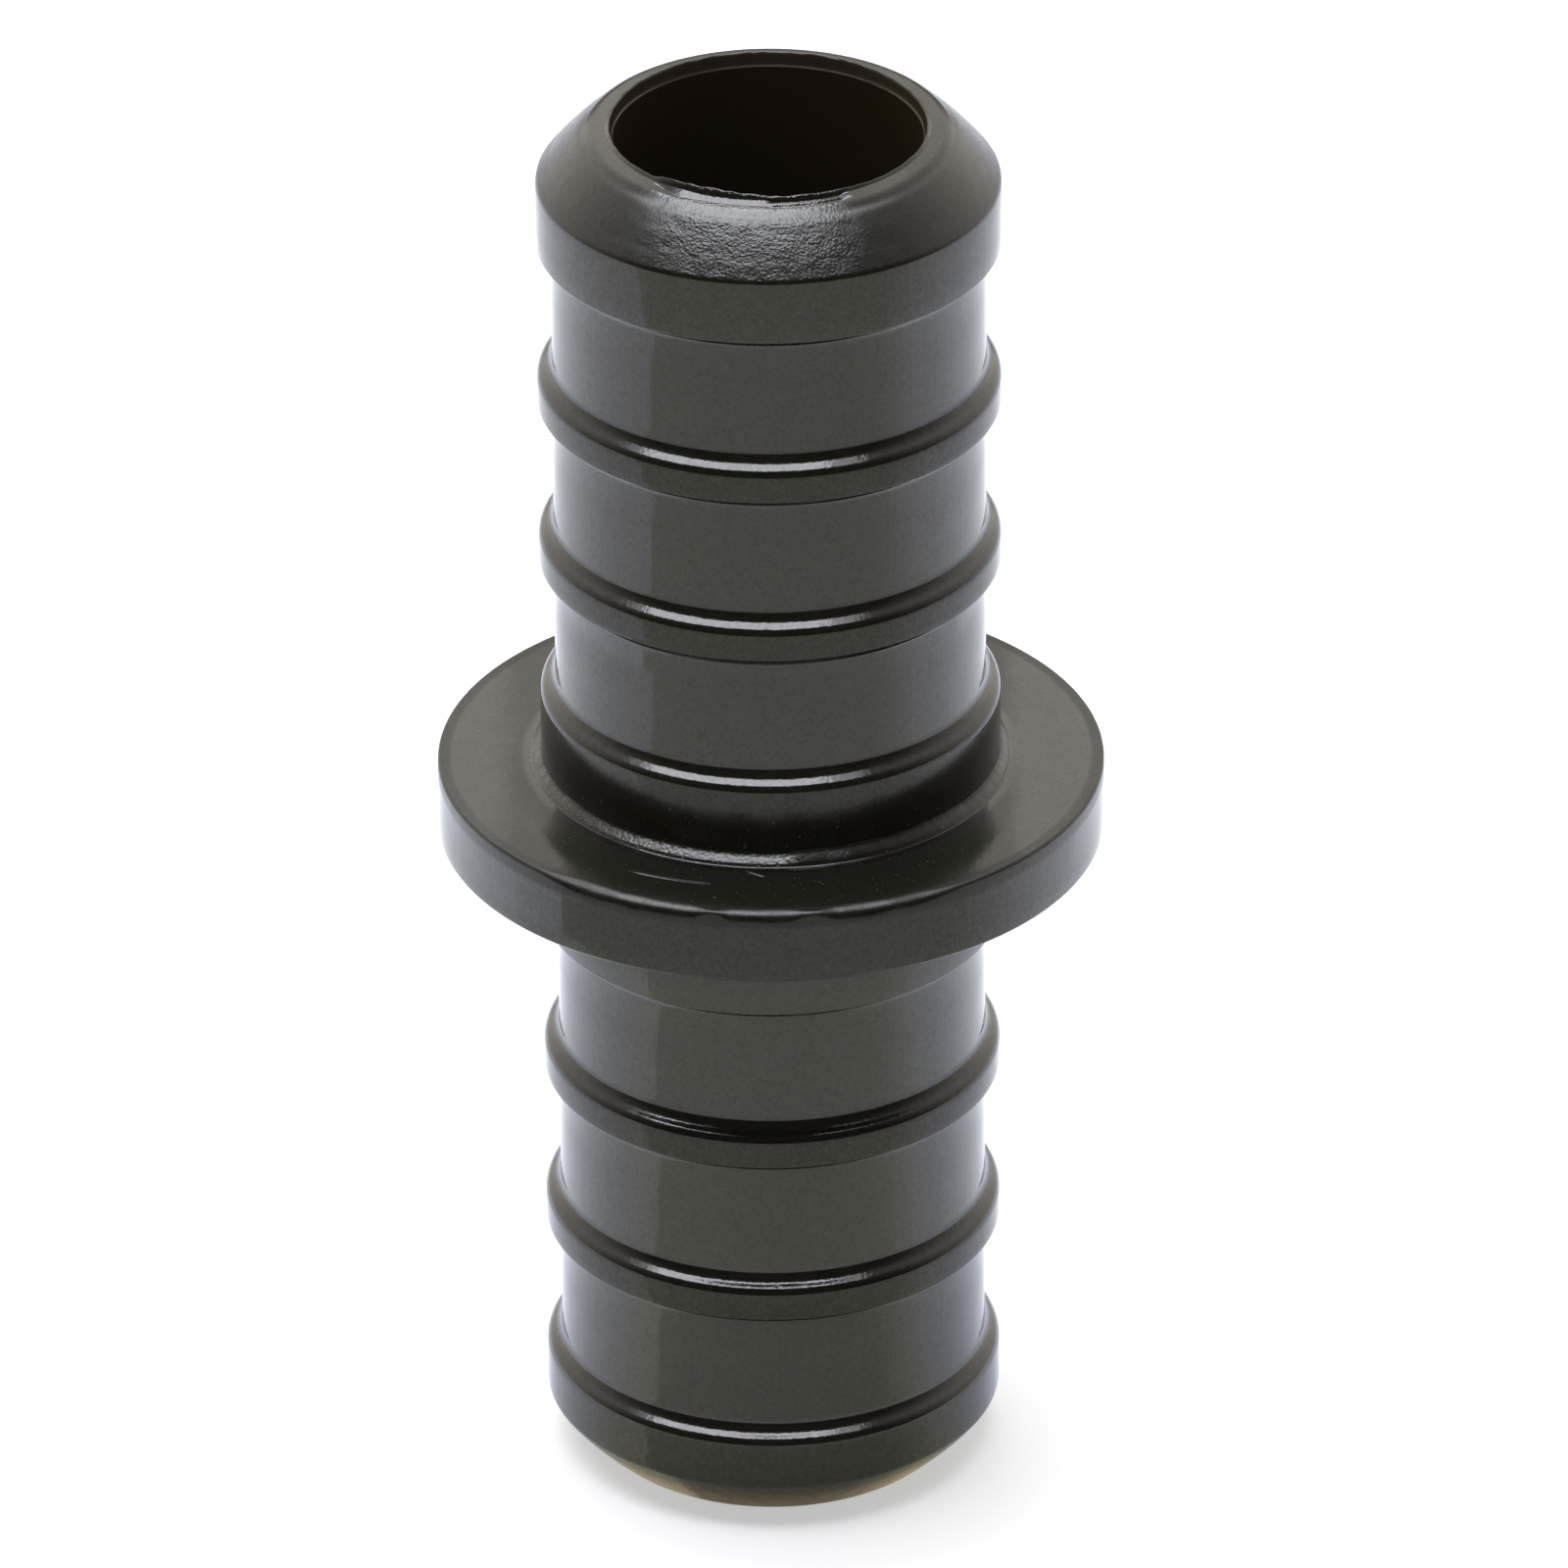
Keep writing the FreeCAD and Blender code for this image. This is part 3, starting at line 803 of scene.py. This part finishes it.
room = bpy.data.worlds.new("room")
scene.world = room
sky = empty_tree(room)
direction = sky.node("ShaderNodeTexCoord", output="Generated")
to_right, to_back = direction.axis("X"), direction.axis("Y")
pale = ROOM_DARK + to_back.above(*ROOM_RISE) * (ROOM_PALE - ROOM_DARK)
pale = pale * (1 - to_right * LEFT_LIGHTER) * (1 - to_back.above(*LOW_BACK_EDGE) * LOW_BACK)
warm = sky.node("ShaderNodeBackground", {}, {"Color": ROOM_WARM, "Strength": pale})
bare = sky.node("ShaderNodeBackground", {}, {"Color": WHITE, "Strength": 1})
looked_at = sky.node("ShaderNodeLightPath", output="Is Camera Ray")
sky.node("ShaderNodeOutputWorld", {}, {"Surface": looked_at.mix_shaders(warm, bare)})
print("room from", ROOM_DARK, "to", ROOM_PALE)

# %% [markdown]
# ## The lamp
#
# Where does the lamp stand? The bright lines on the ribs tell. Each runs from 33 degrees left of
# the front to about 15 right of it, on the part of the shoulder that slopes by 47 to 78 degrees,
# and fades beyond both ends. So the camera's ray is followed to such a slope and mirrored, and
# where it meets the ceiling, there is lamp. The lamp's outline is worked out that way, and
# becomes a glowing panel, with a fainter one at each side for the fade.

# %% Follow the mirrored rays to the ceiling
CAMERA_ELEVATION = math.radians(28.71)
LAMP_HEIGHT = 0.5
LAMP_COLOUR = (0.98, 1.0, 1.06, 1)
LOW_TILT, HIGH_TILT = math.radians(47), math.radians(78)
TURN_STEPS, TILT_STEPS = 9, 6


def panel_points(first_turn, last_turn):
    """Grid of places on the ceiling. The surface's normal is turned from the front and tilted up;
    the mirrored ray is twice the normal's share of the view, times the normal, less the view."""
    turn = np.radians(np.linspace(first_turn, last_turn, TURN_STEPS))[:, None]
    tilt = np.linspace(LOW_TILT, HIGH_TILT, TILT_STEPS)[None, :]
    level = np.cos(tilt)
    normal = np.stack([np.sin(turn) * level, -np.cos(turn) * level, np.sin(tilt) + 0 * turn], axis=-1)
    view = np.array([0, -math.cos(CAMERA_ELEVATION), math.sin(CAMERA_ELEVATION)])
    ray = 2 * (normal @ view)[..., None] * normal - view
    return ray / ray[..., 2:] * LAMP_HEIGHT


def soft_panel(name, first_turn, last_turn, radiance):
    """A glowing panel on the ceiling, which the camera doesn't see."""
    points = panel_points(first_turn, last_turn).reshape(-1, 3)
    number = np.arange(TURN_STEPS * TILT_STEPS).reshape(TURN_STEPS, TILT_STEPS)
    corners = number[:-1, :-1], number[1:, :-1], number[1:, 1:], number[:-1, 1:]
    mesh = bpy.data.meshes.new(name)
    mesh.from_pydata(points, [], np.stack(corners, axis=-1).reshape(-1, 4))
    glass = bpy.data.materials.new(name)
    lamp = empty_tree(glass)
    light = lamp.node("ShaderNodeEmission", {}, {"Color": LAMP_COLOUR, "Strength": radiance})
    lamp.node("ShaderNodeOutputMaterial", {}, {"Surface": light})
    mesh.materials.append(glass)
    panel = bpy.data.objects.new(name, mesh)
    scene.collection.objects.link(panel)
    panel.visible_camera = False
    return panel


print("the lowest slope in front mirrors", panel_points(0, 0)[0, 0].round(2).tolist(), "metres")

# %% Hang the lamp and its two fades
LAMP_RADIANCE = 6.6
RIGHT_RADIANCE, LEFT_RADIANCE = LAMP_RADIANCE * 0.4, LAMP_RADIANCE * 0.25
LEFT_END, LEFT_TURN, RIGHT_TURN, RIGHT_END = -39, -33, 15, 24

overhead = soft_panel("overhead", LEFT_TURN, RIGHT_TURN, LAMP_RADIANCE)
soft_panel("overhead_right_fade", RIGHT_TURN, RIGHT_END, RIGHT_RADIANCE)
soft_panel("overhead_left_fade", LEFT_END, LEFT_TURN, LEFT_RADIANCE)
print("lamp spans", [round(side_length, 2) for side_length in overhead.dimensions], "metres")

# %% [markdown]
# ## The camera
#
# The photograph looks down on the part at nearly 29 degrees from far away, through a long lens.
# The numbers come from matching the part's known circles to the picture. A shift would also put
# the part a little left of the middle, but shift stays on in every other view, so the camera is
# moved sideways instead.

# %% Look as the photograph does
# Distances are millimetres, and the roll is a slope.
CAMERA_DISTANCE = 466.3
CAMERA_ASIDE = 0.343
CAMERA_AIM_HEIGHT = 0.052
CAMERA_ROLL = 0.004116
SENSOR = 36.0
LENS = 402.8
NEAREST, FURTHEST = 0.01, 10

back = Vector((0, -math.cos(CAMERA_ELEVATION), math.sin(CAMERA_ELEVATION)))
level_right = Vector((1, 0, 0))
level_up = back.cross(level_right)
right_way = (level_right - level_up * CAMERA_ROLL).normalized()
up_way = back.cross(right_way)
eye = back * CAMERA_DISTANCE + Vector((CAMERA_ASIDE, 0, CAMERA_AIM_HEIGHT))
turned = Matrix((right_way, up_way, back)).transposed().to_4x4()
camera_data = bpy.data.cameras.new("camera")
camera_data.sensor_width = SENSOR
camera_data.lens = LENS
camera_data.clip_start, camera_data.clip_end = NEAREST, FURTHEST
camera = bpy.data.objects.new("camera", camera_data)
camera.matrix_world = Matrix.Translation(eye * MM) @ turned
scene.collection.objects.link(camera)
scene.camera = camera
print("camera stands", [round(step, 1) for step in eye], "mm from the middle")

# %% Update the scene and finish
bpy.context.view_layer.update()
